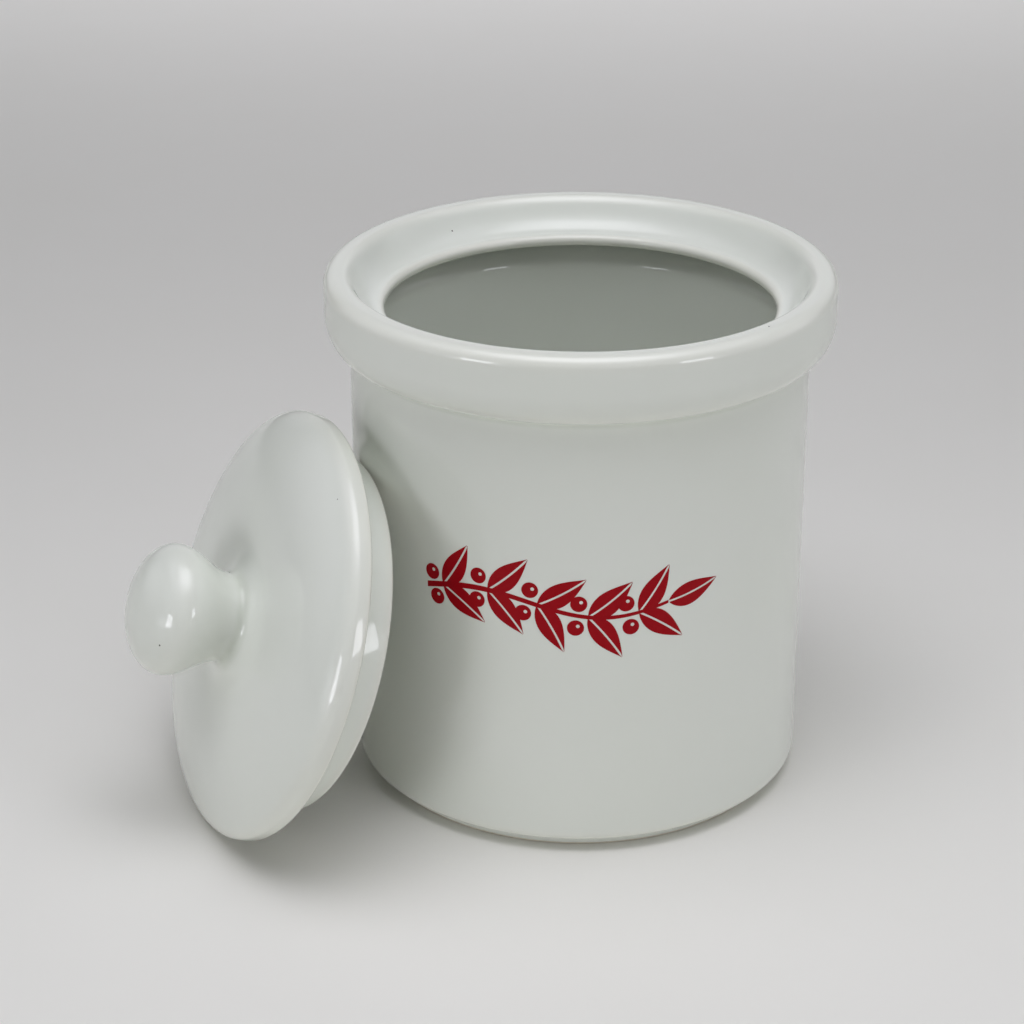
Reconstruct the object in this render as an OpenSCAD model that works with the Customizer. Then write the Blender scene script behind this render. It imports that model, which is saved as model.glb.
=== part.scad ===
// Glazed stoneware coffee canister: a drain-cast jar with a hollow rolled rim,
// and its loose lid, taken off and leaning against the wall.
// All sizes are in millimetres. The jar's axis is Z, its foot stands on z = 0,
// and the lid leans on the side of -X.

/* [Jar] */
// Outside diameter of the straight wall
body_d = 112; // [90:1:140]
// Height from the table to the top of the rim
jar_h = 130; // [110:1:200]
// Thickness of the cast wall
wall = 4.8; // [3.6:0.1:6]
// Thickness of the floor
floor_t = 5; // [3.5:0.1:9]
// Radius of the bend from the floor up into the wall, inside
floor_bend = 8; // [4:0.5:15]

/* [Foot] */
// Height of the foot ring under the heel
foot_h = 2.6; // [1.5:0.1:5]
// Width of the ring that stands on the table
foot_w = 5; // [3:0.5:10]
// Depth of the hollow inside the foot ring
foot_hollow = 2; // [1.4:0.1:4]
// Rounding of the foot ring's edges
foot_round = 0.6; // [0.3:0.1:0.9]
// Step from the foot ring out to the heel
foot_step = 0.6; // [0.2:0.1:3]
// Width of the rounded heel at the bottom of the wall
heel_w = 3.4; // [1:0.1:6]
// Height of the rounded heel
heel_h = 2.3; // [1:0.1:6]

/* [Rolled rim] */
// How far the rim stands out from the wall
rim_proud = 6; // [4:0.5:9]
// Height of the rim, from its underside to its top
rim_h = 17.3; // [15:0.1:24]
// Height of the rounded swell under the rim
rim_swell = 7.5; // [4:0.1:9]
// Fillet where the rim's underside meets the wall
rim_fillet = 1.2; // [0.5:0.1:2.5]
// Width of the level crown, from the rim's outside to the seat
crown_w = 4.6; // [4.2:0.1:6]
// Rounding of the crown's outer edge
crown_round = 3; // [2:0.1:4]
// Rounding of the hollow inside the rim, at its outer end
hollow_round = 2; // [1:0.1:2.6]

/* [Lid seat] */
// Depth of the dished seat below the crown
seat_depth = 8; // [6.5:0.1:9]
// Width of the dished seat, from the crown to the lip
seat_w = 8.5; // [7:0.1:11]
// Share of the seat's width, from the crown, at which it is steepest
seat_steep = 0.3; // [0.2:0.05:0.5]
// Rounding of the lip round the mouth
lip_round = 1.5; // [1:0.1:2]

/* [Lid] */
// Gap all round between the lid's edge and the crown
lid_gap = 5; // [4:0.1:6.5]
// Height of the upright edge under the dome
edge_h = 3.2; // [2:0.1:5]
// Rounding of the edge's lower corner
edge_round = 1.4; // [0.4:0.1:1.8]
// Rise of the dome above the edge
dome_h = 8; // [6:0.1:14]
// Thickness of the lid's cast wall
lid_t = 4.6; // [3.5:0.1:5.5]

/* [Flange] */
// Gap all round between the flange and the mouth
flange_gap = 3.1; // [1:0.1:5]
// Depth of the flange below the lid's edge
flange_h = 9.5; // [6:0.1:16]
// Thickness of the flange
flange_t = 4.5; // [3:0.1:7]
// Rounding of the flange's edges
flange_round = 1.2; // [0.5:0.1:1.4]

/* [Knob] */
// Diameter of the knob
knob_d = 31.7; // [26:0.1:40]
// Height of the knob above its widest place
knob_cap = 9.1; // [7:0.1:16]
// Height from the neck up to the knob's widest place
knob_under = 13.9; // [9:0.1:20]
// Diameter of the neck
neck_d = 21.6; // [16:0.1:25]
// Width of the flare from the neck out to the dome
flare_w = 9; // [5:0.1:14]
// Height of the flare
flare_h = 3.3; // [2.5:0.1:9]

/* [Leaning] */
// Angle of the lid away from upright
lid_lean = 19.7; // [12:0.1:30]
// Gap between the lid and what it leans on
lean_gap = 0.3; // [0.1:0.1:0.5]

/* [Hidden] */
$fn = 128;
// Straight steps in a quarter turn of a profile
quarter_steps = 12;
glaze_white = "#d3d7d0";

// Jar: radii, and heights above the table
body_r = body_d / 2;
inner_r = body_r - wall;
floor_z = foot_hollow + floor_t;
heel_r = body_r - heel_w;
foot_r = heel_r - foot_step;
foot_inner_r = foot_r - foot_w;
rim_r = body_r + rim_proud;
rim_z = jar_h - rim_h;
crown_r = rim_r - crown_w;
seat_z = jar_h - seat_depth;
seat_r = crown_r - seat_w;
mouth_r = seat_r - lip_round;
lip_z = seat_z - lip_round;

// The wall keeps its thickness where it turns out into the rim, so the inside has a
// rounded shoulder about the same centre as the fillet outside. Over the shoulder lies a
// hollow whose round end keeps the same wall to the outside of the rim.
turn_r = body_r + rim_fillet;
turn_z = rim_z - rim_fillet;
shoulder_r = wall + rim_fillet;
hollow_r = rim_r - wall - hollow_round;
hollow_angle = acos((turn_r - hollow_r) / (shoulder_r + hollow_round));
hollow_z = turn_z + (shoulder_r + hollow_round) * sin(hollow_angle);

// Lid: radii, and heights above the underside of its edge
disc_r = crown_r - lid_gap;
flange_r = mouth_r - flange_gap;
flange_inner_r = flange_r - flange_t;
knob_r = knob_d / 2;
neck_r = neck_d / 2;
dome_r = neck_r + flare_w;
dome_z = edge_h + dome_h;
neck_z = dome_z + flare_h;
knob_z = neck_z + knob_under;

// Leaning lid: its lower edge stands on the table, its flange touches the wall, or
// the rim where the flange reaches that high.
lid_z = max(
    (disc_r - edge_round) * cos(lid_lean) - edge_round * sin(lid_lean) + edge_round,
    (flange_r - flange_round) * cos(lid_lean) + (flange_h - flange_round) * sin(lid_lean) + flange_round);
flange_top_z = lid_z + flange_r * cos(lid_lean);
lean_on_r = flange_top_z < rim_z ? body_r : rim_r;
lean_reach = (flange_h - flange_round) * cos(lid_lean) + (flange_r - flange_round) * sin(lid_lean)
    + flange_round;
lid_x = -(lean_on_r + lean_gap + lean_reach);

// Points along an elliptical arc with the given half-axes, from one angle to another
function bend(centre, half, from, to) =
    let (steps = ceil(quarter_steps * abs(to - from) / 90))
    [for (i = [0:steps])
        let (a = from + (to - from) * i / steps)
        centre + [half[0] * cos(a), half[1] * sin(a)]];

// Points along an S-shaped curve that starts and ends upright
function ogee(from, to) =
    [for (i = [0:2 * quarter_steps])
        let (s = i / (2 * quarter_steps))
        [from[0] + (to[0] - from[0]) * (1 - cos(180 * s)) / 2, from[1] + (to[1] - from[1]) * s]];

// Points along a dish that starts and ends level and is steepest at a share of its width
function dish(from, to, share) =
    [for (i = [0:2 * quarter_steps])
        let (s = i / (2 * quarter_steps))
        let (fall = s < share ? s * s / share : 1 - (1 - s) * (1 - s) / (1 - share))
        [from[0] + (to[0] - from[0]) * s, from[1] + (to[1] - from[1]) * fall]];

// The same list of points, from its last to its first
function reversed(points) = [for (i = [len(points) - 1:-1:0]) points[i]];

// Underside and foot ring, from the axis outwards
function foot_line() = concat(
    [[0, foot_hollow]],
    bend([foot_inner_r - foot_round, foot_hollow - foot_round], [foot_round, foot_round], 90, 0),
    bend([foot_inner_r + foot_round, foot_round], [foot_round, foot_round], 180, 270),
    bend([foot_r - foot_round, foot_round], [foot_round, foot_round], -90, 0),
    [[foot_r, foot_h]]);

// Outside of the jar, from the heel up to the crown
function outside_line() = concat(
    bend([heel_r, foot_h + heel_h], [heel_w, heel_h], -90, 0),
    bend([turn_r, turn_z], [rim_fillet, rim_fillet], 180, 90),
    bend([turn_r, rim_z + rim_swell], [rim_r - turn_r, rim_swell], -90, 0),
    bend([rim_r - crown_round, jar_h - crown_round], [crown_round, crown_round], 0, 90));

// Seat and lip, from the crown in to the mouth and back under
function seat_line() = concat(
    dish([crown_r, jar_h], [seat_r, seat_z], seat_steep),
    bend([seat_r, lip_z], [lip_round, lip_round], 90, 270));

// Inside of the jar, from the hollow in the rim down to the floor
function inside_line() = concat(
    bend([hollow_r, hollow_z], [hollow_round, hollow_round], 90, -hollow_angle),
    bend([turn_r, turn_z], [shoulder_r, shoulder_r], 180 - hollow_angle, 180),
    bend([inner_r - floor_bend, floor_z + floor_bend], [floor_bend, floor_bend], 0, -90),
    [[0, floor_z]]);

// Top of the lid, from the tip of the knob out to the edge
function lid_top_line() = concat(
    bend([0, knob_z], [knob_r, knob_cap], 90, 0),
    ogee([knob_r, knob_z], [neck_r, neck_z]),
    bend([dome_r, neck_z], [flare_w, flare_h], 180, 270),
    bend([dome_r, edge_h], [disc_r - dome_r, dome_h], 90, 0),
    bend([disc_r - edge_round, edge_round], [edge_round, edge_round], 0, -90));

// Flange under the lid, from its outside round to its inside
function flange_line() = concat(
    bend([flange_r + flange_round, -flange_round], [flange_round, flange_round], 90, 180),
    bend([flange_r - flange_round, flange_round - flange_h], [flange_round, flange_round], 0, -90),
    bend([flange_inner_r + flange_round, flange_round - flange_h], [flange_round, flange_round], 270, 180));

// Underside of the lid, from the flange in and up into the hollow knob
function lid_under_line() = concat(
    reversed(bend([dome_r, edge_h], [flange_inner_r - dome_r, dome_h - lid_t], 90, 0)),
    reversed(bend([dome_r, neck_z], [flare_w + lid_t, flare_h + lid_t], 180, 270)),
    reversed(ogee([knob_r - lid_t, knob_z], [neck_r - lid_t, neck_z])),
    reversed(bend([0, knob_z], [knob_r - lid_t, knob_cap - lid_t], 90, 0)));

module jar() {
    color(glaze_white)
        rotate_extrude()
            polygon(concat(foot_line(), outside_line(), seat_line(), inside_line()));
}

// The lid upright, with the underside of its edge on z = 0
module lid_upright() {
    rotate_extrude()
        polygon(concat(lid_top_line(), flange_line(), lid_under_line()));
}

module lid() {
    color(glaze_white)
        translate([lid_x, 0, lid_z])
            rotate([0, lid_lean - 90, 0])
                lid_upright();
}

jar();
lid();
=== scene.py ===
# %% [markdown]
# # A stoneware canister with its lid off
# The object is a slip-cast jar of white glazed stoneware and its loose lid, which leans
# against the wall. Its solids are already packed at their real size, so the script loads them
# as a fixed frame. Every shape below is built in that frame, in metres, where the solid is.

# %% Load the frame
import math

import bpy
from mathutils import Matrix, Vector


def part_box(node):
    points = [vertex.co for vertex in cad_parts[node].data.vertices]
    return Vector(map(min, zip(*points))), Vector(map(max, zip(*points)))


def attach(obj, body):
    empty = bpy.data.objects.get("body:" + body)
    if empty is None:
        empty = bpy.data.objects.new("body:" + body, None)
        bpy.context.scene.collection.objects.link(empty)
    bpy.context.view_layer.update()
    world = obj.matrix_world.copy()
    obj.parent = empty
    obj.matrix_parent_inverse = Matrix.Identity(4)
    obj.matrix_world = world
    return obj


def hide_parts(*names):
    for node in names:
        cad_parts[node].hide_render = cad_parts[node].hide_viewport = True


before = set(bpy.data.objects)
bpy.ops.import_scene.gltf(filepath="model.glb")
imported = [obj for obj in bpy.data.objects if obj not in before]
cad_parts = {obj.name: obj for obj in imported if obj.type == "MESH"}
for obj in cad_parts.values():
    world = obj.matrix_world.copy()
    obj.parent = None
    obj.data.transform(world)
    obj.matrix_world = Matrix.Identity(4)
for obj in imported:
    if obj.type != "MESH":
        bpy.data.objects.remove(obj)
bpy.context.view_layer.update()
jar_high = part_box("jar")[1]
lid_low, lid_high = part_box("lid")
MM = 0.001
print("solids:", sorted(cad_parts), "jar height in mm:", round(jar_high.z / MM, 1))

# %% [markdown]
# ## Sizes
# A caster draws a jar as half of its section: distances from the axis and heights above the
# table. The overall sizes come from the frame, and the rest are the section's own dimensions
# in millimetres, the same ones that the solids were made with.

# %% Sizes of the jar in millimetres
rim_r = jar_high.x / MM
jar_h = jar_high.z / MM
wall = 4.8
rim_proud = 6.0
body_r = rim_r - rim_proud
inner_r = body_r - wall

floor_bend = 8.0
foot_h = 2.6
foot_w = 5.0
foot_hollow = 2.0
foot_round = 0.6
foot_step = 0.6
heel_w = 3.4
heel_h = 2.3
floor_z = foot_hollow + 5.0
heel_r = body_r - heel_w
foot_r = heel_r - foot_step
foot_inner_r = foot_r - foot_w

rim_z = jar_h - 17.3
rim_swell = 7.5
rim_fillet = 1.2
crown_round = 3.0
crown_r = rim_r - 4.6
hollow_round = 2.0
seat_z = jar_h - 8.0
seat_r = crown_r - 8.5
seat_steep = 0.3
lip_round = 1.5
lip_z = seat_z - lip_round
mouth_r = seat_r - lip_round
print("wall radius", body_r, "mouth radius", round(mouth_r, 2), "seat height", seat_z)

# %% Sizes of the lid in millimetres, upward from the underside of its edge
disc_r = crown_r - 5.0
edge_h = 3.2
edge_round = 1.4
dome_h = 8.0
lid_t = 4.6
flange_r = mouth_r - 3.1
flange_h = 9.5
flange_inner_r = flange_r - 4.5
flange_round = 1.2
flange_swell = 0.18
knob_r = 15.85
knob_cap = 9.1
neck_r = 10.8
flare_w = 9.0
flare_h = 3.3
dome_r = neck_r + flare_w
dome_z = edge_h + dome_h
neck_z = dome_z + flare_h
knob_z = neck_z + 13.9
print("lid radius", disc_r, "knob tip at", knob_z + knob_cap)

# %% [markdown]
# ## Section lines
# A section is straight runs joined by round bends and two S-curves, the knob's neck and the
# dished seat, so three helpers are enough. An arc takes as many points as keep its chords within
# a hundredth of a millimetre of the curve. Shading is smoothed across every edge, and on a long
# straight run the bend at its end would tint the whole run, so extra points bunched towards both
# ends of a run keep that blend as narrow as the bend itself.

# %% Arcs, S-curves and straight runs
chord_gap = 0.01
curve_steps = 36
long_run = 2.0
run_points = 2.5


def arc(centre, half, start, end):
    """Points on an elliptical arc with the given half-axes, between two angles in degrees."""
    stride = math.degrees(2 * math.acos(1 - chord_gap / max(half)))
    steps = max(6, math.ceil(abs(end - start) / stride))
    turns = [math.radians(start + (end - start) * i / steps) for i in range(steps + 1)]
    return [(centre[0] + half[0] * math.cos(t), centre[1] + half[1] * math.sin(t)) for t in turns]


def ogee(start, end):
    """Points on an S-shaped curve that is upright at both ends."""
    shares = [i / curve_steps for i in range(curve_steps + 1)]
    blend = [(1 - math.cos(math.pi * s)) / 2 for s in shares]
    return [(start[0] + (end[0] - start[0]) * b, start[1] + (end[1] - start[1]) * s)
            for s, b in zip(shares, blend)]


def dish(start, end, share):
    """Points on an S-shaped curve, level at both ends and steepest at a share of its width."""
    shares = [i / curve_steps for i in range(curve_steps + 1)]
    falls = [s * s / share if s < share else 1 - (1 - s) ** 2 / (1 - share) for s in shares]
    return [(start[0] + (end[0] - start[0]) * s, start[1] + (end[1] - start[1]) * f)
            for s, f in zip(shares, falls)]


def fill_runs(points):
    """The same line, with points added on its long straight runs, closer together at their ends."""
    filled = [points[0]]
    for (r0, z0), (r1, z1) in zip(points, points[1:]):
        length = math.hypot(r1 - r0, z1 - z0)
        if length < 1e-6:
            continue
        steps = round(run_points * math.sqrt(length)) if length > long_run else 1
        for i in range(1, steps + 1):
            share = (1 - math.cos(math.pi * i / steps)) / 2
            filled.append((r0 + (r1 - r0) * share, z0 + (z1 - z0) * share))
    return filled


print("points on the crown's rounding:", len(arc((0, 0), (crown_round, crown_round), 0, 90)))

# %% [markdown]
# ## The jar's section
# Slip drained out of the mould leaves one wall of even thickness, so the inside follows the
# outside: where the wall turns out into the rim it leaves a rounded shoulder, and over it a
# hollow with a round end as far from the rim's outside as the wall is thick. The line starts
# under the foot on the axis and runs anticlockwise, with the clay on its left, until it is back
# on the axis on the floor.

# %% Line of the jar
turn_r = body_r + rim_fillet
turn_z = rim_z - rim_fillet
shoulder_r = wall + rim_fillet
hollow_r = rim_r - wall - hollow_round
hollow_turn = math.acos((turn_r - hollow_r) / (shoulder_r + hollow_round))
hollow_z = turn_z + (shoulder_r + hollow_round) * math.sin(hollow_turn)
hollow_angle = math.degrees(hollow_turn)

foot_line = (
    [(0, foot_hollow)]
    + arc((foot_inner_r - foot_round, foot_hollow - foot_round), (foot_round, foot_round), 90, 0)
    + arc((foot_inner_r + foot_round, foot_round), (foot_round, foot_round), 180, 270)
    + arc((foot_r - foot_round, foot_round), (foot_round, foot_round), -90, 0)
    + [(foot_r, foot_h)])
outside_line = (
    arc((heel_r, foot_h + heel_h), (heel_w, heel_h), -90, 0)
    + arc((turn_r, turn_z), (rim_fillet, rim_fillet), 180, 90)
    + arc((turn_r, rim_z + rim_swell), (rim_r - turn_r, rim_swell), -90, 0)
    + arc((rim_r - crown_round, jar_h - crown_round), (crown_round, crown_round), 0, 90))
seat_line = (
    dish((crown_r, jar_h), (seat_r, seat_z), seat_steep)
    + arc((seat_r, lip_z), (lip_round, lip_round), 90, 270))
inside_line = (
    arc((hollow_r, hollow_z), (hollow_round, hollow_round), 90, -hollow_angle)
    + arc((turn_r, turn_z), (shoulder_r, shoulder_r), 180 - hollow_angle, 180)
    + arc((inner_r - floor_bend, floor_z + floor_bend), (floor_bend, floor_bend), 0, -90)
    + [(0, floor_z)])
jar_line = fill_runs(foot_line + outside_line + seat_line + inside_line)
print("points on the jar's line:", len(jar_line))

# %% [markdown]
# ## The lid's section
# The lid is drain-cast too, with a hollow knob that opens downwards through its neck. Its line
# is drawn from the knob's tip out over the dome, round the flange and back under, and is then
# turned round so that it also runs anticlockwise. Sponging the flange leaves it faintly
# barrelled, by less than a fifth of a millimetre, which is why its highlight has round ends.

# %% Line of the lid
knob_line = (
    arc((0, knob_z), (knob_r, knob_cap), 90, 0)
    + ogee((knob_r, knob_z), (neck_r, neck_z)))
dome_line = (
    arc((dome_r, neck_z), (flare_w, flare_h), 180, 270)
    + arc((dome_r, edge_h), (disc_r - dome_r, dome_h), 90, 0)
    + arc((disc_r - edge_round, edge_round), (edge_round, edge_round), 0, -90))
flange_half = flange_h / 2 - flange_round
swell_r = (flange_half ** 2 + flange_swell ** 2) / (2 * flange_swell)
swell_angle = math.degrees(math.asin(flange_half / swell_r))
flange_end_r = flange_r - flange_swell
flange_line = (
    arc((flange_end_r + flange_round, -flange_round), (flange_round, flange_round), 90, 180)
    + arc((flange_r - swell_r, -flange_h / 2), (swell_r, swell_r), swell_angle, -swell_angle)
    + arc((flange_end_r - flange_round, flange_round - flange_h),
          (flange_round, flange_round), 0, -90)
    + arc((flange_inner_r + flange_round, flange_round - flange_h),
          (flange_round, flange_round), 270, 180))
under_line = (
    arc((dome_r, edge_h), (flange_inner_r - dome_r, dome_h - lid_t), 0, 90)
    + arc((dome_r, neck_z), (flare_w + lid_t, flare_h + lid_t), 270, 180)
    + ogee((neck_r - lid_t, neck_z), (knob_r - lid_t, knob_z))
    + arc((0, knob_z), (knob_r - lid_t, knob_cap - lid_t), 0, 90))
lid_line = fill_runs(knob_line + dome_line + flange_line + under_line)[::-1]
print("points on the lid's line:", len(lid_line))

# %% [markdown]
# ## How the glaze lies
# Molten glaze draws back from edges and gathers in creases. How much the line turns within a
# few millimetres says which: positive in a crease, negative over an edge. The value is kept on
# each point of the line, so that the finish can follow the shape and creases get painted shade.

# %% Glaze on the line
glaze_reach = 3.0


def glaze_lie(points):
    """Turning of the line near each point in radians: above zero in creases, below on edges."""
    along = [0.0]
    headings = []
    for (r0, z0), (r1, z1) in zip(points, points[1:]):
        along.append(along[-1] + math.hypot(r1 - r0, z1 - z0))
        headings.append(math.atan2(z1 - z0, r1 - r0))
    turns = [math.remainder(b - a, math.tau) for a, b in zip(headings, headings[1:])]
    bends = list(zip(along[1:], turns))
    return [-sum(turn * max(0.0, 1 - abs(here - there) / glaze_reach) for there, turn in bends)
            for here in along]


jar_lie = glaze_lie(jar_line)
lid_lie = glaze_lie(lid_line)
print("glaze lies between", round(min(jar_lie), 2), "and", round(max(jar_lie), 2), "on the jar")

# %% [markdown]
# ## Nodes
# One small function adds a node of any kind, sets its options and joins its inputs, so that the
# trees below read as a list of steps.

# %% Node helper and colours
def add_node(tree, kind, links=None, **settings):
    """Adds a node, sets its options, and links or sets each named or numbered input."""
    node = tree.nodes.new(kind)
    for name, value in settings.items():
        setattr(node, name, value)
    for key, value in (links or {}).items():
        if isinstance(value, bpy.types.NodeSocket):
            tree.links.new(value, node.inputs[key])
        else:
            node.inputs[key].default_value = value
    return node


def linear(hex_colour):
    """An sRGB hex colour as the linear RGBA that Blender's sockets hold."""
    channels = [int(hex_colour[i:i + 2], 16) / 255 for i in (1, 3, 5)]
    return [c / 12.92 if c <= 0.04045 else ((c + 0.055) / 1.055) ** 2.4 for c in channels] + [1.0]


print("white glaze in linear colour:", [round(c, 3) for c in linear("#e5e9df")])

# %% [markdown]
# ## White glaze
# The glaze is an opaque white stoneware glaze, fired to a glossy glass. Creases are painted darker
# and greener, partly for glaze that gathers there and partly as painted shade. It is a shade warmer
# where it thins over edges, it drifts slightly in tone over some centimetres, and its surface
# undulates by a few hundredths of a millimetre, which softens the outline of every reflection. A
# few iron specks show as dark pinpricks.

# %% White stoneware glaze
def white_stoneware_glaze():
    material = bpy.data.materials.new("white_stoneware_glaze")
    material.use_nodes = True
    tree = material.node_tree
    shader = tree.nodes["Principled BSDF"]
    place = add_node(tree, "ShaderNodeTexCoord").outputs["Object"]
    drift_mm, ripple_mm, speck_gap_mm, speck_mm = 40, 11, 13, 0.22

    drift = add_node(tree, "ShaderNodeTexNoise", {"Vector": place, "Scale": 1 / (drift_mm * MM)})
    tone = add_node(tree, "ShaderNodeMix", {
        "Factor": drift.outputs["Fac"], 6: linear("#e5e9df"), 7: linear("#e8ebe4")},
        data_type="RGBA")
    lie = add_node(tree, "ShaderNodeAttribute", attribute_name="glaze_lie").outputs["Fac"]
    thin = add_node(tree, "ShaderNodeMapRange", {
        "Value": lie, "From Min": -0.25, "From Max": -1.4, "To Max": 0.5})
    warmed = add_node(tree, "ShaderNodeMix", {
        "Factor": thin.outputs["Result"], 6: tone.outputs[2], 7: linear("#eae8dc")},
        data_type="RGBA")
    # Painted shade: creases turn darker and greener, partly for glaze gathered there, partly as
    # shade.
    crease_glaze_and_shade = add_node(tree, "ShaderNodeMapRange", {
        "Value": lie, "From Min": 0.6, "From Max": 1.4, "To Max": 0.8})
    pooled_and_shaded = add_node(tree, "ShaderNodeMix", {
        "Factor": crease_glaze_and_shade.outputs["Result"], 6: warmed.outputs[2], 7: linear("#cfd6c6")},
        data_type="RGBA")
    cells = add_node(tree, "ShaderNodeTexVoronoi", {
        "Vector": place, "Scale": 1 / (speck_gap_mm * MM)})
    speck = add_node(tree, "ShaderNodeMath", {
        0: cells.outputs["Distance"], 1: speck_mm / speck_gap_mm}, operation="LESS_THAN")
    speckled = add_node(tree, "ShaderNodeMix", {
        "Factor": speck.outputs[0], 6: pooled_and_shaded.outputs[2], 7: linear("#4a4640")}, data_type="RGBA")
    ripple = add_node(tree, "ShaderNodeTexNoise", {
        "Vector": place, "Scale": 1 / (ripple_mm * MM), "Detail": 1.0})
    bump = add_node(tree, "ShaderNodeBump", {
        "Height": ripple.outputs["Fac"], "Strength": 1.0, "Distance": 0.05 * MM})
    gloss = add_node(tree, "ShaderNodeMapRange", {
        "Value": drift.outputs["Fac"], "To Min": 0.05, "To Max": 0.09})

    tree.links.new(speckled.outputs[2], shader.inputs["Base Color"])
    tree.links.new(gloss.outputs["Result"], shader.inputs["Roughness"])
    tree.links.new(bump.outputs["Normal"], shader.inputs["Normal"])
    shader.inputs["IOR"].default_value = 1.52
    return material


glaze = white_stoneware_glaze()
print("material:", glaze.name)

# %% [markdown]
# ## Bare clay
# A piece would stick to the kiln shelf on melted glaze, so the ring that it stands on is wiped
# clean. There the fired clay shows: matt, fine-grained and a little cream.

# %% Bare stoneware
def bare_stoneware():
    material = bpy.data.materials.new("bare_stoneware")
    material.use_nodes = True
    tree = material.node_tree
    shader = tree.nodes["Principled BSDF"]
    place = add_node(tree, "ShaderNodeTexCoord").outputs["Object"]
    grit_mm, cloud_mm = 0.5, 12
    cloud = add_node(tree, "ShaderNodeTexNoise", {"Vector": place, "Scale": 1 / (cloud_mm * MM)})
    tone = add_node(tree, "ShaderNodeMix", {
        "Factor": cloud.outputs["Fac"], 6: linear("#cfc8b6"), 7: linear("#ddd6c6")},
        data_type="RGBA")
    grit = add_node(tree, "ShaderNodeTexNoise", {
        "Vector": place, "Scale": 1 / (grit_mm * MM), "Detail": 3.0})
    bump = add_node(tree, "ShaderNodeBump", {
        "Height": grit.outputs["Fac"], "Strength": 0.6, "Distance": 0.05 * MM})
    tree.links.new(tone.outputs[2], shader.inputs["Base Color"])
    tree.links.new(bump.outputs["Normal"], shader.inputs["Normal"])
    shader.inputs["Roughness"].default_value = 0.85
    return material


clay = bare_stoneware()
print("material:", clay.name)

# %% [markdown]
# ## Red enamel
# The sprig is a printed transfer of red ceramic enamel, fired on to the finished glaze at a low
# heat. The film is dense and much duller than the glaze, so it mirrors little of the pale room
# and keeps its depth, with a faint mottle where the print is thinner.

# %% Red ceramic enamel
def red_enamel():
    material = bpy.data.materials.new("red_ceramic_enamel")
    material.use_nodes = True
    tree = material.node_tree
    shader = tree.nodes["Principled BSDF"]
    place = add_node(tree, "ShaderNodeTexCoord").outputs["Object"]
    mottle_mm = 1.6
    mottle = add_node(tree, "ShaderNodeTexNoise", {
        "Vector": place, "Scale": 1 / (mottle_mm * MM), "Detail": 3.0})
    tone = add_node(tree, "ShaderNodeMix", {
        "Factor": mottle.outputs["Fac"], 6: linear("#980310"), 7: linear("#a40716")},
        data_type="RGBA")
    tree.links.new(tone.outputs[2], shader.inputs["Base Color"])
    shader.inputs["Roughness"].default_value = 0.3
    shader.inputs["IOR"].default_value = 1.2
    return material


enamel = red_enamel()
print("material:", enamel.name)

# %% [markdown]
# ## Turning a section into a piece
# Both pieces are solids of revolution, so one Geometry Nodes tree makes both. It lays out a
# grid with a row for each point of the section and a column for each step round the axis, looks
# up the section's point for the row, and turns it by the column's angle. Merging by distance
# closes the seam and the two poles. A spin in edit mode would give the same mesh, but the tree
# keeps the number of steps and the place of the piece as inputs.

# %% Lathe tree
weld_gap = 0.001 * MM


def add_inputs(tree, inputs):
    """Gives a tree its named inputs and a geometry output, and returns the input node's sockets."""
    for name, kind in inputs.items():
        tree.interface.new_socket(name, in_out="INPUT", socket_type="NodeSocket" + kind)
    tree.interface.new_socket("Piece", in_out="OUTPUT", socket_type="NodeSocketGeometry")
    return add_node(tree, "NodeGroupInput").outputs


def smoothed(tree, geometry, sharp_above):
    """Smooth shading that breaks at edges sharper than an angle."""
    bend = add_node(tree, "GeometryNodeInputMeshEdgeAngle").outputs["Unsigned Angle"]
    sharp = add_node(tree, "FunctionNodeCompare", {"A": bend, "B": sharp_above},
                     operation="GREATER_THAN").outputs[0]
    smooth = add_node(tree, "GeometryNodeSetShadeSmooth", {"Geometry": geometry}).outputs[0]
    return add_node(tree, "GeometryNodeSetShadeSmooth", {
        "Geometry": smooth, "Selection": sharp, "Shade Smooth": False}, domain="EDGE").outputs[0]


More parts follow.
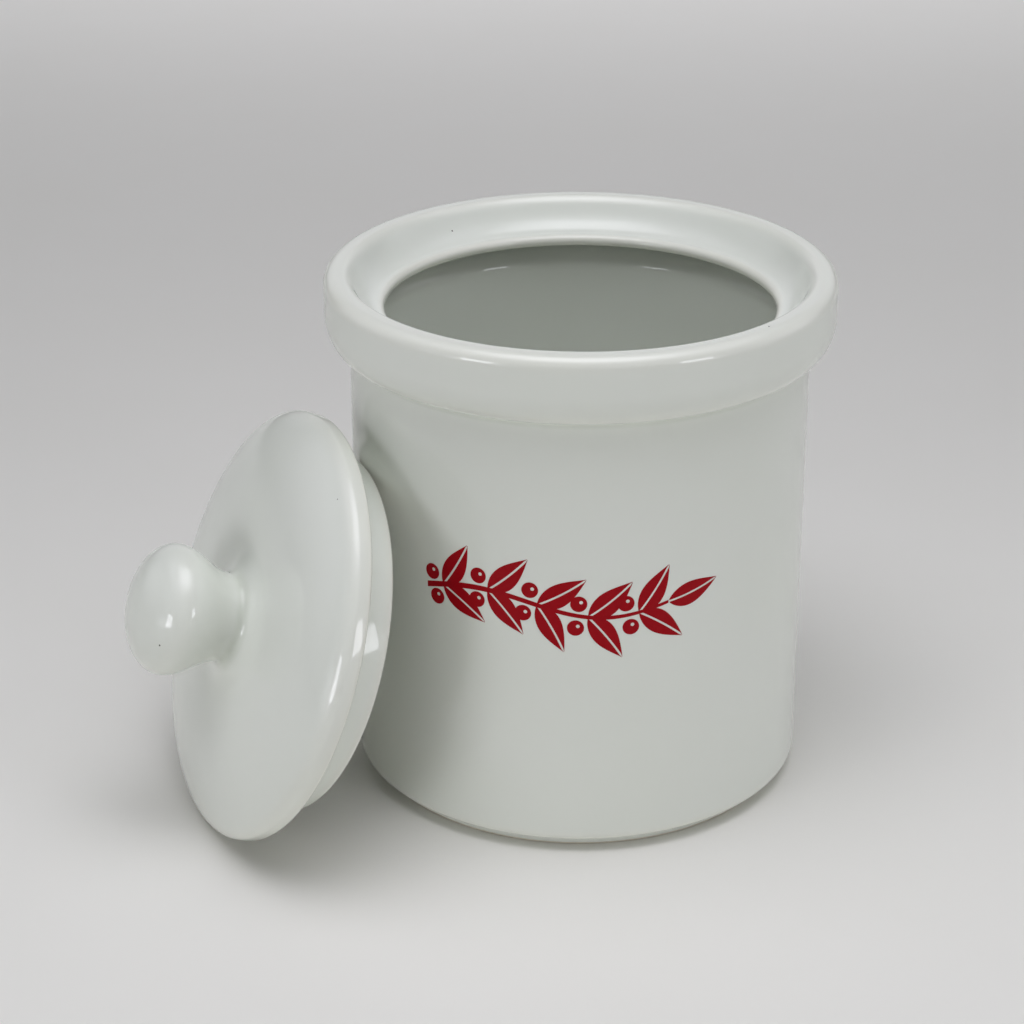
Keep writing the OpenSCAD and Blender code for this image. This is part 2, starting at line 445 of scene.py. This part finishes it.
def lathe_tree():
    tree = bpy.data.node_groups.new("turned_piece", "GeometryNodeTree")
    given = add_inputs(tree, {
        "Section": "Geometry", "Steps round the axis": "Int", "Lean": "Rotation",
        "Place": "Vector", "Sharp above": "Float", "Glaze": "Material", "Bare clay": "Material"})

    size = add_node(tree, "GeometryNodeAttributeDomainSize", {"Geometry": given["Section"]})
    columns = add_node(tree, "FunctionNodeIntegerMath", {
        0: given["Steps round the axis"], 1: 1}, operation="ADD")
    grid = add_node(tree, "GeometryNodeMeshGrid", {
        "Vertices X": size.outputs["Point Count"], "Vertices Y": columns.outputs[0]})
    index = add_node(tree, "GeometryNodeInputIndex").outputs[0]
    row = add_node(tree, "FunctionNodeIntegerMath", {
        0: index, 1: columns.outputs[0]}, operation="DIVIDE_FLOOR")
    column = add_node(tree, "FunctionNodeIntegerMath", {
        0: index, 1: columns.outputs[0]}, operation="MODULO")
    share = add_node(tree, "ShaderNodeMath", {
        0: column.outputs[0], 1: given["Steps round the axis"]}, operation="DIVIDE")
    angle = add_node(tree, "ShaderNodeMath", {0: share.outputs[0], 1: -math.tau},
                     operation="MULTIPLY")
    here = add_node(tree, "GeometryNodeInputPosition").outputs[0]
    point = add_node(tree, "GeometryNodeSampleIndex", {
        "Geometry": given["Section"], "Value": here, "Index": row.outputs[0]},
        data_type="FLOAT_VECTOR")
    turned = add_node(tree, "ShaderNodeVectorRotate", {
        "Vector": point.outputs[0], "Angle": angle.outputs[0]}, rotation_type="Z_AXIS")
    lathed = add_node(tree, "GeometryNodeSetPosition", {
        "Geometry": grid.outputs["Mesh"], "Position": turned.outputs[0]}).outputs[0]

    for name in ("glaze_lie", "bare"):
        value = add_node(tree, "GeometryNodeInputNamedAttribute", {"Name": name})
        sampled = add_node(tree, "GeometryNodeSampleIndex", {
            "Geometry": given["Section"], "Value": value.outputs[0], "Index": row.outputs[0]})
        lathed = add_node(tree, "GeometryNodeStoreNamedAttribute", {
            "Geometry": lathed, "Name": name, "Value": sampled.outputs[0]}).outputs[0]

    closed = add_node(tree, "GeometryNodeMergeByDistance", {
        "Geometry": lathed, "Distance": weld_gap}).outputs[0]
    creased = smoothed(tree, closed, given["Sharp above"])
    placed = add_node(tree, "GeometryNodeTransform", {
        "Geometry": creased, "Translation": given["Place"], "Rotation": given["Lean"]}).outputs[0]
    real = add_node(tree, "GeometryNodeRealizeInstances", {"Geometry": placed}).outputs[0]
    glazed = add_node(tree, "GeometryNodeSetMaterial", {
        "Geometry": real, "Material": given["Glaze"]}).outputs[0]
    bare = add_node(tree, "GeometryNodeInputNamedAttribute", {"Name": "bare"})
    wiped = add_node(tree, "FunctionNodeCompare", {
        "A": bare.outputs[0], "B": 0.5}, operation="GREATER_THAN").outputs[0]
    finished = add_node(tree, "GeometryNodeSetMaterial", {
        "Geometry": glazed, "Material": given["Bare clay"], "Selection": wiped}).outputs[0]
    add_node(tree, "NodeGroupOutput", {"Piece": finished})
    return tree


lathe = lathe_tree()
print("nodes in the lathe tree:", len(lathe.nodes))

# %% [markdown]
# ## From tree to plain mesh
# A modifier's inputs are set by the sockets' identifiers before anything is evaluated. The
# evaluated result then becomes the object's own mesh and the modifier goes, so that the piece
# is a plain mesh in place when it is told which body it rides on.

# %% Section object, and running a tree
def in_scene(name, mesh):
    """A new object with this mesh, linked into the scene."""
    obj = bpy.data.objects.new(name, mesh)
    bpy.context.scene.collection.objects.link(obj)
    return obj


def section_object(name, points, lie, is_bare):
    """A line of points in the XZ plane that carries its glaze and its bare places."""
    mesh = bpy.data.meshes.new(name)
    mesh.from_pydata([(r * MM, 0, z * MM) for r, z in points],
                     [(i, i + 1) for i in range(len(points) - 1)], [])
    bare = [float(is_bare(r, z)) for r, z in points]
    for key, values in (("glaze_lie", lie), ("bare", bare)):
        mesh.attributes.new(key, "FLOAT", "POINT").data.foreach_set("value", values)
    return in_scene(name, mesh)


def run_tree(obj, tree, inputs):
    """Runs a Geometry Nodes tree on an object and leaves its result as the object's plain mesh."""
    modifier = obj.modifiers.new(tree.name, "NODES")
    modifier.node_group = tree
    identifiers = {s.name: s.identifier for s in tree.interface.items_tree if s.in_out == "INPUT"}
    for name, value in inputs.items():
        modifier[identifiers[name]] = value
    evaluated = obj.evaluated_get(bpy.context.evaluated_depsgraph_get())
    mesh = bpy.data.meshes.new_from_object(evaluated)
    obj.modifiers.clear()
    obj.data = mesh
    mesh.name = obj.name
    mesh.calc_loop_triangles()
    print(obj.name, "has", len(mesh.loop_triangles), "triangles")
    return obj


# %% [markdown]
# ## The jar
# The jar stands upright on its foot ring. The ring is the bare part of its line: the stretch
# lower than the foot's height, from just inside the ring outwards.

# %% Jar
steps_round = 256
sharp_above = math.radians(50)
wiped_h = 1.9
wiped_inside = 0.1


def stands_on(r, z):
    return z < wiped_h and r > foot_inner_r - wiped_inside


jar = run_tree(section_object("glazed_jar", jar_line, jar_lie, stands_on), lathe, {
    "Steps round the axis": steps_round, "Sharp above": sharp_above, "Glaze": glaze,
    "Bare clay": clay})
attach(jar, "jar")
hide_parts("jar")

# %% [markdown]
# ## The lid
# The lid stands on its edge and leans on the wall with its flange, so its place follows from
# the lean: as high as its lowest corner needs, and as far out as its flange reaches, with the
# small gap that the solids keep. It was fired standing on its flange, so the flange's end is
# the bare part.

# %% Lid
lid_lean = math.radians(19.7)
lean_gap = 0.3
end_face_h = 0.12
lean_cos, lean_sin = math.cos(lid_lean), math.sin(lid_lean)
edge_drop = (disc_r - edge_round) * lean_cos - edge_round * lean_sin + edge_round
flange_drop = ((flange_r - flange_round) * lean_cos + (flange_h - flange_round) * lean_sin
               + flange_round)
flange_reach = ((flange_h - flange_round) * lean_cos + (flange_r - flange_round) * lean_sin
                + flange_round)
lid_place = Vector((-(body_r + lean_gap + flange_reach), 0, max(edge_drop, flange_drop)))
lid_turn = (0, lid_lean - math.pi / 2, 0)


def fired_on(r, z):
    return z < end_face_h - flange_h


lid = run_tree(section_object("glazed_lid", lid_line, lid_lie, fired_on), lathe, {
    "Steps round the axis": steps_round, "Sharp above": sharp_above, "Glaze": glaze,
    "Bare clay": clay, "Lean": lid_turn, "Place": lid_place * MM})
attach(lid, "lid")
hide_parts("lid")
print("lid from", [round(c, 4) for c in lid_low], "to", [round(c, 4) for c in lid_high])

# %% [markdown]
# ## Leaves and berries of the sprig
# The front of the wall carries a red sprig: a waving stem with pairs of pointed leaves and
# round berries. Like a stencil it leaves bare lines, along each midrib and as a dot in each
# berry. One leaf for each side of the stem and one berry are drawn flat, in cells finer than a
# millimetre so that they can bend round the wall later.

# %% Leaf and berry
leaf_l, leaf_w, leaf_bend = 13.5, 5.8, 1.5
rib_gap = 0.5
leaf_start, leaf_share, leaf_fullness = 0.02, 0.965, 0.75
leaf_rows, cells_across = 18, 4
berry_r, dot_r, dot_shift = 2.0, 0.45, 1.1
berry_turns = 28


def flat_piece(name, grids):
    """A flat mesh from grids of points in millimetres, each a list of rows."""
    points, faces = [], []
    for rows in grids:
        first, across = len(points), len(rows[0])
        points += [(x * MM, y * MM, 0) for row in rows for x, y in row]
        faces += [(first + i * across + j, first + (i + 1) * across + j,
                   first + (i + 1) * across + j + 1, first + i * across + j + 1)
                  for i in range(len(rows) - 1) for j in range(across - 1)]
    mesh = bpy.data.meshes.new(name)
    mesh.from_pydata(points, [], faces)
    return in_scene(name, mesh)


def leaf_half(side, bend):
    """Rows across one half of a pointed leaf that grows from the origin along X."""
    rows = []
    for s in (leaf_start + leaf_share * i / leaf_rows for i in range(leaf_rows + 1)):
        half = leaf_w / 2 * math.sin(math.pi * s ** leaf_fullness)
        near, far = sorted((side * min(rib_gap / 2, half / 2), side * half))
        rows.append([(leaf_l * s, bend * s * s + near + (far - near) * j / cells_across)
                     for j in range(cells_across + 1)])
    return rows


def berry_ring():
    """Rows from the bare dot out to the edge of a berry."""
    spokes = [(math.cos(math.tau * i / berry_turns), math.sin(math.tau * i / berry_turns))
              for i in range(berry_turns + 1)]
    inner = [(dot_r * (c + dot_shift), dot_r * (s + dot_shift)) for c, s in spokes]
    outer = [(berry_r * c, berry_r * s) for c, s in spokes]
    return [[(a + (c - a) * k / cells_across, b + (d - b) * k / cells_across)
             for (a, b), (c, d) in zip(inner, outer)]
            for k in range(cells_across + 1)]


upper_leaf = flat_piece("upper_leaf", [leaf_half(-1, leaf_bend), leaf_half(1, leaf_bend)])
lower_leaf = flat_piece("lower_leaf", [leaf_half(-1, -leaf_bend), leaf_half(1, -leaf_bend)])
berry = flat_piece("berry", [berry_ring()])
print("faces of a leaf and a berry:", len(upper_leaf.data.polygons), len(berry.data.polygons))

# %% [markdown]
# ## Laying out the sprig
# The layout follows a rule, so a second tree makes it. The stem is one wave of a sine. At even
# steps along it sit a leaf and a berry on each side, turned with the stem's slope, and one leaf
# ends it. The flat sprig is then bent round the wall and thickened into a thin closed film:
# its raised copy, its sides, and its own faces turned over as the underside.

# %% Sprig tree
first_pair = 0.4
tip_turn = -0.1
stem_rows, stem_columns = 97, 3
stem_thick, stem_thinning = 1.25, 0.6
film_crease = math.radians(40)


def sprig_tree():
    tree = bpy.data.node_groups.new("sprig_transfer", "GeometryNodeTree")
    given = add_inputs(tree, {
        "Upper leaf": "Object", "Lower leaf": "Object", "Berry": "Object",
        "Pairs of leaves": "Int", "Stem length": "Float", "Stem width": "Float", "Wave": "Float",
        "Leaf spread": "Float", "Berry offset": "Vector", "Wall radius": "Float",
        "Middle angle": "Float", "Middle height": "Float", "Film": "Float", "Enamel": "Material"})

    def maths(operation, a, b=0.0):
        return add_node(tree, "ShaderNodeMath", {0: a, 1: b}, operation=operation).outputs[0]

    def vector(x=0.0, y=0.0, z=0.0):
        return add_node(tree, "ShaderNodeCombineXYZ", {0: x, 1: y, 2: z}).outputs[0]

    def on_stem(share):
        """Place of the stem's middle line at a share of its length, and its slope there."""
        turn = maths("MULTIPLY", share, math.tau)
        x = maths("MULTIPLY", maths("SUBTRACT", share, 0.5), given["Stem length"])
        y = maths("MULTIPLY", maths("SINE", turn), given["Wave"])
        climb = maths("MULTIPLY", maths("COSINE", turn), maths("MULTIPLY", given["Wave"], math.tau))
        return x, y, maths("ARCTAN2", climb, given["Stem length"])

    def placed(piece, count, share, spread, offset=None):
        """Copies of a piece along the stem, turned away from its slope by a spread."""
        x, y, slope = on_stem(share)
        spots = add_node(tree, "GeometryNodePoints", {
            "Count": count, "Position": vector(x, y)}).outputs[0]
        copy = add_node(tree, "GeometryNodeObjectInfo", {
            "Object": given[piece]}).outputs["Geometry"]
        if offset is not None:
            copy = add_node(tree, "GeometryNodeTransform", {
                "Geometry": copy, "Translation": offset}).outputs[0]
        return add_node(tree, "GeometryNodeInstanceOnPoints", {
            "Points": spots, "Instance": copy,
            "Rotation": vector(z=maths("ADD", slope, spread))}).outputs[0]

    pairs, spread = given["Pairs of leaves"], given["Leaf spread"]
    index = add_node(tree, "GeometryNodeInputIndex").outputs[0]
    at_pair = maths("DIVIDE", maths("ADD", index, first_pair), pairs)
    down = maths("MULTIPLY", spread, -1.0)
    below = add_node(tree, "ShaderNodeVectorMath", {
        0: given["Berry offset"], 1: (1, -1, 1)}, operation="MULTIPLY").outputs[0]
    pieces = [
        placed("Upper leaf", pairs, at_pair, spread),
        placed("Lower leaf", pairs, at_pair, down),
        placed("Upper leaf", 1, 1.0, tip_turn),
        placed("Berry", pairs, at_pair, 0.0, given["Berry offset"]),
        placed("Berry", pairs, at_pair, 0.0, below)]

    ribbon = add_node(tree, "GeometryNodeMeshGrid", {
        "Size X": given["Stem length"], "Size Y": given["Stem width"],
        "Vertices X": stem_rows, "Vertices Y": stem_columns}).outputs["Mesh"]
    flat = add_node(tree, "ShaderNodeSeparateXYZ", {
        0: add_node(tree, "GeometryNodeInputPosition").outputs[0]}).outputs
    share = maths("ADD", maths("DIVIDE", flat[0], given["Stem length"]), 0.5)
    x, y, _ = on_stem(share)
    taper = maths("SUBTRACT", stem_thick, maths("MULTIPLY", share, stem_thinning))
    pieces.append(add_node(tree, "GeometryNodeSetPosition", {
        "Geometry": ribbon,
        "Position": vector(x, maths("ADD", y, maths("MULTIPLY", flat[1], taper)))}).outputs[0])

    whole = add_node(tree, "GeometryNodeJoinGeometry")
    for piece in pieces:
        tree.links.new(piece, whole.inputs[0])
    sprig = add_node(tree, "GeometryNodeRealizeInstances", {
        "Geometry": whole.outputs[0]}).outputs[0]
    angle = maths("ADD", given["Middle angle"], maths("DIVIDE", flat[0], given["Wall radius"]))
    bent = vector(maths("MULTIPLY", maths("COSINE", angle), given["Wall radius"]),
                  maths("MULTIPLY", maths("SINE", angle), given["Wall radius"]),
                  maths("ADD", flat[1], given["Middle height"]))
    wrapped = add_node(tree, "GeometryNodeSetPosition", {
        "Geometry": sprig, "Position": bent}).outputs[0]
    wrapped = add_node(tree, "GeometryNodeMergeByDistance", {
        "Geometry": wrapped, "Distance": weld_gap}).outputs[0]
    underside = add_node(tree, "GeometryNodeFlipFaces", {"Mesh": wrapped}).outputs[0]
    raised = add_node(tree, "GeometryNodeExtrudeMesh", {
        "Mesh": wrapped, "Offset Scale": given["Film"], "Individual": False}).outputs["Mesh"]
    film = add_node(tree, "GeometryNodeJoinGeometry")
    tree.links.new(underside, film.inputs[0])
    tree.links.new(raised, film.inputs[0])
    closed = add_node(tree, "GeometryNodeMergeByDistance", {
        "Geometry": film.outputs[0], "Distance": weld_gap}).outputs[0]
    smooth = smoothed(tree, closed, film_crease)
    real = add_node(tree, "GeometryNodeRealizeInstances", {"Geometry": smooth}).outputs[0]
    finished = add_node(tree, "GeometryNodeSetMaterial", {
        "Geometry": real, "Material": given["Enamel"]}).outputs[0]
    add_node(tree, "NodeGroupOutput", {"Piece": finished})
    return tree


# %% [markdown]
# The sprig sits on the side of the wall that faces the viewer. The film floats a hundredth of a
# millimetre off the wall, so that the two surfaces never cross, and the flat leaves and berry
# are removed once they are laid out.

# %% Sprig
sprig_lift = 0.01
sprig = run_tree(in_scene("enamel_sprig", bpy.data.meshes.new("enamel_sprig")), sprig_tree(), {
    "Upper leaf": upper_leaf, "Lower leaf": lower_leaf, "Berry": berry, "Pairs of leaves": 5,
    "Stem length": 60 * MM, "Stem width": 1.2 * MM, "Wave": 2.6 * MM,
    "Leaf spread": math.radians(40), "Berry offset": Vector((-2.6, 3.1, 0)) * MM,
    "Wall radius": (body_r + sprig_lift) * MM, "Middle angle": math.radians(-122.5),
    "Middle height": 66 * MM, "Film": 0.04 * MM, "Enamel": enamel})
for template in (upper_leaf, lower_leaf, berry):
    bpy.data.objects.remove(template)
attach(sprig, "jar")

# %% [markdown]
# ## Floor
# A wide sheet of pale matt paper, so large that its edges stay out of every view.

# %% Floor
def pale_paper():
    material = bpy.data.materials.new("pale_paper")
    material.use_nodes = True
    tree = material.node_tree
    shader = tree.nodes["Principled BSDF"]
    place = add_node(tree, "ShaderNodeTexCoord").outputs["Object"]
    fibre_mm = 60
    fibre = add_node(tree, "ShaderNodeTexNoise", {"Vector": place, "Scale": 1 / (fibre_mm * MM)})
    tone = add_node(tree, "ShaderNodeMix", {
        "Factor": fibre.outputs["Fac"], 6: linear("#f0efe9"), 7: linear("#f2f1ec")},
        data_type="RGBA")
    tree.links.new(tone.outputs[2], shader.inputs["Base Color"])
    shader.inputs["Roughness"].default_value = 0.9
    return material


floor_half = 4.0
floor_mesh = bpy.data.meshes.new("floor")
floor_mesh.from_pydata([(-floor_half, -floor_half, 0), (floor_half, -floor_half, 0),
                        (floor_half, floor_half, 0), (-floor_half, floor_half, 0)],
                       [], [(0, 1, 2, 3)])
floor_mesh.materials.append(pale_paper())
floor = in_scene("floor", floor_mesh)
print("floor half width in m:", floor_half)

# %% [markdown]
# ## Camera
# A long lens looks down on the jar from the front, with the lid to its left. The camera's place
# and lens come from the outlines of the rim, the wall and the lid in the photograph.

# %% Camera
frame_px = 1024
focal_px = 2704.6
camera_turn = 24.05
camera_away_mm = 618.2
camera_up_mm = 344.5
camera_pitch = 24.32
camera_yaw = -1.54
camera_roll = -0.10


def aimed(heading, pitch, roll):
    """Turn of a camera with its heading from +Y towards +X and its pitch downwards, in degrees."""
    h, p, r = (math.radians(a) for a in (heading, pitch, roll))
    forward = Vector((math.sin(h) * math.cos(p), math.cos(h) * math.cos(p), -math.sin(p)))
    right = Vector((math.cos(h), -math.sin(h), 0))
    up = right.cross(forward)
    right, up = (right * math.cos(r) + up * math.sin(r), up * math.cos(r) - right * math.sin(r))
    return Matrix((right, up, -forward)).transposed().to_4x4()


lens = bpy.data.cameras.new("camera")
lens.sensor_width = 36
lens.lens = lens.sensor_width * focal_px / frame_px
camera = in_scene("camera", lens)
bpy.context.scene.camera = camera
turn = math.radians(camera_turn)
camera_place = Vector((-math.sin(turn), -math.cos(turn), 0)) * camera_away_mm * MM
camera_place.z = camera_up_mm * MM
camera.matrix_world = (Matrix.Translation(camera_place)
                       @ aimed(camera_turn + camera_yaw, camera_pitch, camera_roll))
print("lens in mm:", round(lens.lens, 1))

# %% [markdown]
# ## Light
# The highlights show where the lamps of the photograph stood. A small soft box on each side of
# the camera gives the crisp streaks. All other light came through white cloth, whose glow has no
# edges, so those lamps fade from their middle to nothing at their borders: a low strip behind
# each box, weaker ones at the sides, and sheets overhead that light the rim and the lid. A faint
# card behind the object is mirrored along the crown of the rim.

# %% Lamp helpers
lamp_aim = Vector((0, 0, 0.07))
camera_angle = math.atan2(camera_place.y, camera_place.x)
across_view = Matrix.Rotation(camera_angle + math.pi / 2, 4, "Z")


def lamp(name, width, height, brightness, fades=True):
    """A rectangular lamp that faces down, with its power from its area and its brightness."""
    light = bpy.data.lights.new(name, "AREA")
    light.shape = "RECTANGLE"
    light.size, light.size_y = width, height
    light.energy = math.pi * width * height * brightness
    light.color = linear("#f9f9ff")[:3]
    if fades:
        fade_edges(light)
    return in_scene(name, light)


def fade_edges(light):
    """Makes a lamp brightest in its middle and dark at its edges, along a parabola each way."""
    light.use_nodes = True
    tree = light.node_tree
    # Each parabola peaks at a quarter, so this gain gives the middle its full strength.
    middle_gain = 16.0
    here = add_node(tree, "ShaderNodeNewGeometry").outputs["Parametric"]
    beyond = add_node(tree, "ShaderNodeVectorMath", {0: (1, 1, 1), 1: here},
                      operation="SUBTRACT").outputs[0]
    hump = add_node(tree, "ShaderNodeVectorMath", {0: here, 1: beyond}, operation="MULTIPLY")
    sides = add_node(tree, "ShaderNodeSeparateXYZ", {0: hump.outputs[0]}).outputs
    both = add_node(tree, "ShaderNodeMath", {0: sides[0], 1: sides[1]}, operation="MULTIPLY")
    share = add_node(tree, "ShaderNodeMath", {0: both.outputs[0], 1: middle_gain},
                     operation="MULTIPLY")
    tree.links.new(share.outputs[0], tree.nodes["Emission"].inputs["Strength"])


# %% [markdown]
# A lamp beside the object is placed by its angle to the right of the camera, its rise and its
# distance, and faces the object. A sheet overhead is placed by how far it hangs to the right of
# the object, towards the camera and up. The last one has a grid that keeps its light off the
# object, and only evens out the floor behind it.

# %% Lamps
crisp_lamps = ("left_box", "right_box")
floor_grid = math.radians(70)
for name, turn, rise, away, width, height, brightness in (
        ("left_box", -43, 9, 1.1, 0.28, 0.3, 5.6),
        ("right_box", 49, 10, 1.1, 0.28, 0.3, 5.2),
        ("left_strip", -50, 4, 1.1, 1.1, 0.3, 1.8),
        ("right_strip", 62, 4, 1.1, 1.1, 0.3, 1.1),
        ("raised_box", 0, 60, 1.2, 0.9, 0.6, 0.5),
        ("left_side", -105, 14, 1.0, 0.9, 0.7, 0.55),
        ("right_side", 100, 12, 1.0, 0.9, 0.7, 1.0),
        ("back_card", 180, 17, 1.6, 3.0, 0.9, 0.6)):
    a, e = camera_angle + math.radians(turn), math.radians(rise)
    step = away * Vector((math.cos(a) * math.cos(e), math.sin(a) * math.cos(e), math.sin(e)))
    facing = (-step).to_track_quat("-Z", "Y").to_matrix().to_4x4()
    lamp(name, width, height, brightness, name not in crisp_lamps).matrix_world = (
        Matrix.Translation(lamp_aim + step) @ facing)

for name, right, ahead, up, width, depth, brightness in (
        ("front_sheet", 0.0, 0.45, 1.0, 1.5, 0.6, 1.35),
        ("middle_sheet", 0.0, 0.1, 0.8, 0.9, 0.6, 4.1),
        ("left_sheet", -0.5, 0.0, 0.8, 0.6, 0.8, 0.8),
        ("right_sheet", 0.5, 0.0, 0.8, 0.6, 0.8, 1.0),
        ("floor_sheet", 0.0, -1.1, 1.0, 2.4, 1.0, 0.8)):
    sheet = lamp(name, width, depth, brightness)
    sheet.matrix_world = across_view @ Matrix.Translation((right, -ahead, up))
    if name == "floor_sheet":
        sheet.data.spread = floor_grid

world = bpy.data.worlds.new("studio")
world.use_nodes = True
bpy.context.scene.world = world
backdrop = world.node_tree.nodes["Background"]
backdrop.inputs["Color"].default_value = linear("#e4e6e4")
backdrop.inputs["Strength"].default_value = 0.04
bpy.context.scene.view_settings.view_transform = "Standard"
